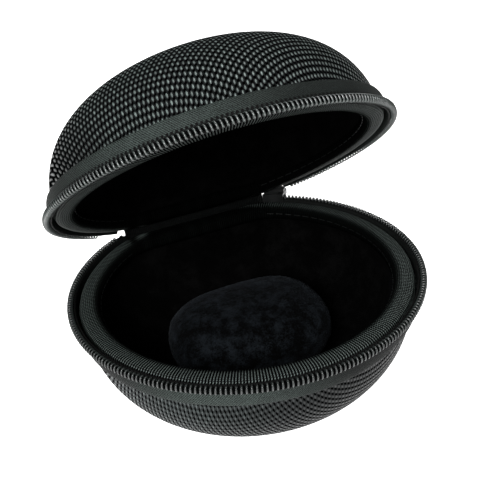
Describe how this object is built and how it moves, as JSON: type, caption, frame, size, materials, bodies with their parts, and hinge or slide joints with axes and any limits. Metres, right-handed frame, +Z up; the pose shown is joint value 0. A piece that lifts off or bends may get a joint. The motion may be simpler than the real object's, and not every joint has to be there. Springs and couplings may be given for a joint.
{
  "type": "watch travel case",
  "caption": "Round zip-up travel case for a wristwatch: two domed woven shells folding on a cloth hinge, velvet-lined, with a watch pillow inside.",
  "frame": {"origin": "centre of the flat foot of the lower shell, on the surface it stands on", "axes": "+Z up along the axis of the round lower shell, +Y towards the hinge, +X to the right seen from the front"},
  "size_m": [0.1088, 0.1127, 0.1129],
  "materials": {
    "woven_cover": "black ballistic nylon in a coarse basket weave",
    "shell_foam": "moulded black foam board",
    "velvet_lining": "black velvet pile",
    "ribbed_binding": "black ribbed grosgrain tape",
    "zip_tape": "fine woven black zip tape",
    "zip_coil": "black nylon coil with a soft sheen",
    "thread": "black polyester thread",
    "pillow_velvet": "crushed dark grey velvet",
    "pillow_foam": "soft grey foam",
    "zip_metal": "black enamelled die-cast zinc"
  },
  "bodies": {
    "base": {"base_cover": "woven_cover", "base_foam_shell": "shell_foam", "base_lining": "velvet_lining", "base_rim_binding": "ribbed_binding", "base_binding_stitching": "thread", "base_zip_tape": "zip_tape", "base_zip_coil": "zip_coil", "base_coil_cord": "thread", "base_end_stops": "zip_metal", "hinge_panel": "woven_cover", "hinge_panel_stitching": "thread", "pillow_core": "pillow_foam", "pillow_cover": "pillow_velvet"},
    "lid": {"lid_cover": "woven_cover", "lid_foam_shell": "shell_foam", "lid_lining": "velvet_lining", "lid_rim_binding": "ribbed_binding", "lid_binding_stitching": "thread", "lid_zip_tape": "zip_tape", "lid_zip_coil": "zip_coil", "lid_coil_cord": "thread", "lid_end_stops": "zip_metal", "lid_hinge_flap": "woven_cover", "lid_hinge_stitching": "thread"},
    "slider": {"slider_body": "zip_metal", "slider_bridge": "zip_metal"},
    "pull": {"pull_tab": "zip_metal"}
  },
  "joints": [
    {"name": "lid_hinge", "type": "hinge", "parent": "base", "child": "lid", "pos_m": [0, 0.0462, 0.0385], "axis": [-1, 0, 0], "range_deg": [-39, 91]},
    {"name": "slider_travel", "type": "hinge", "parent": "base", "child": "slider", "pos_m": [0, 0, 0.0385], "axis": [0, 0, 1], "range_deg": [-293.1, 0]},
    {"name": "pull_swing", "type": "hinge", "parent": "slider", "child": "pull", "pos_m": [0.03156, 0.04783, 0.0385], "axis": [0.8347, -0.5507, 0], "range_deg": [0, 90]}
  ]
}
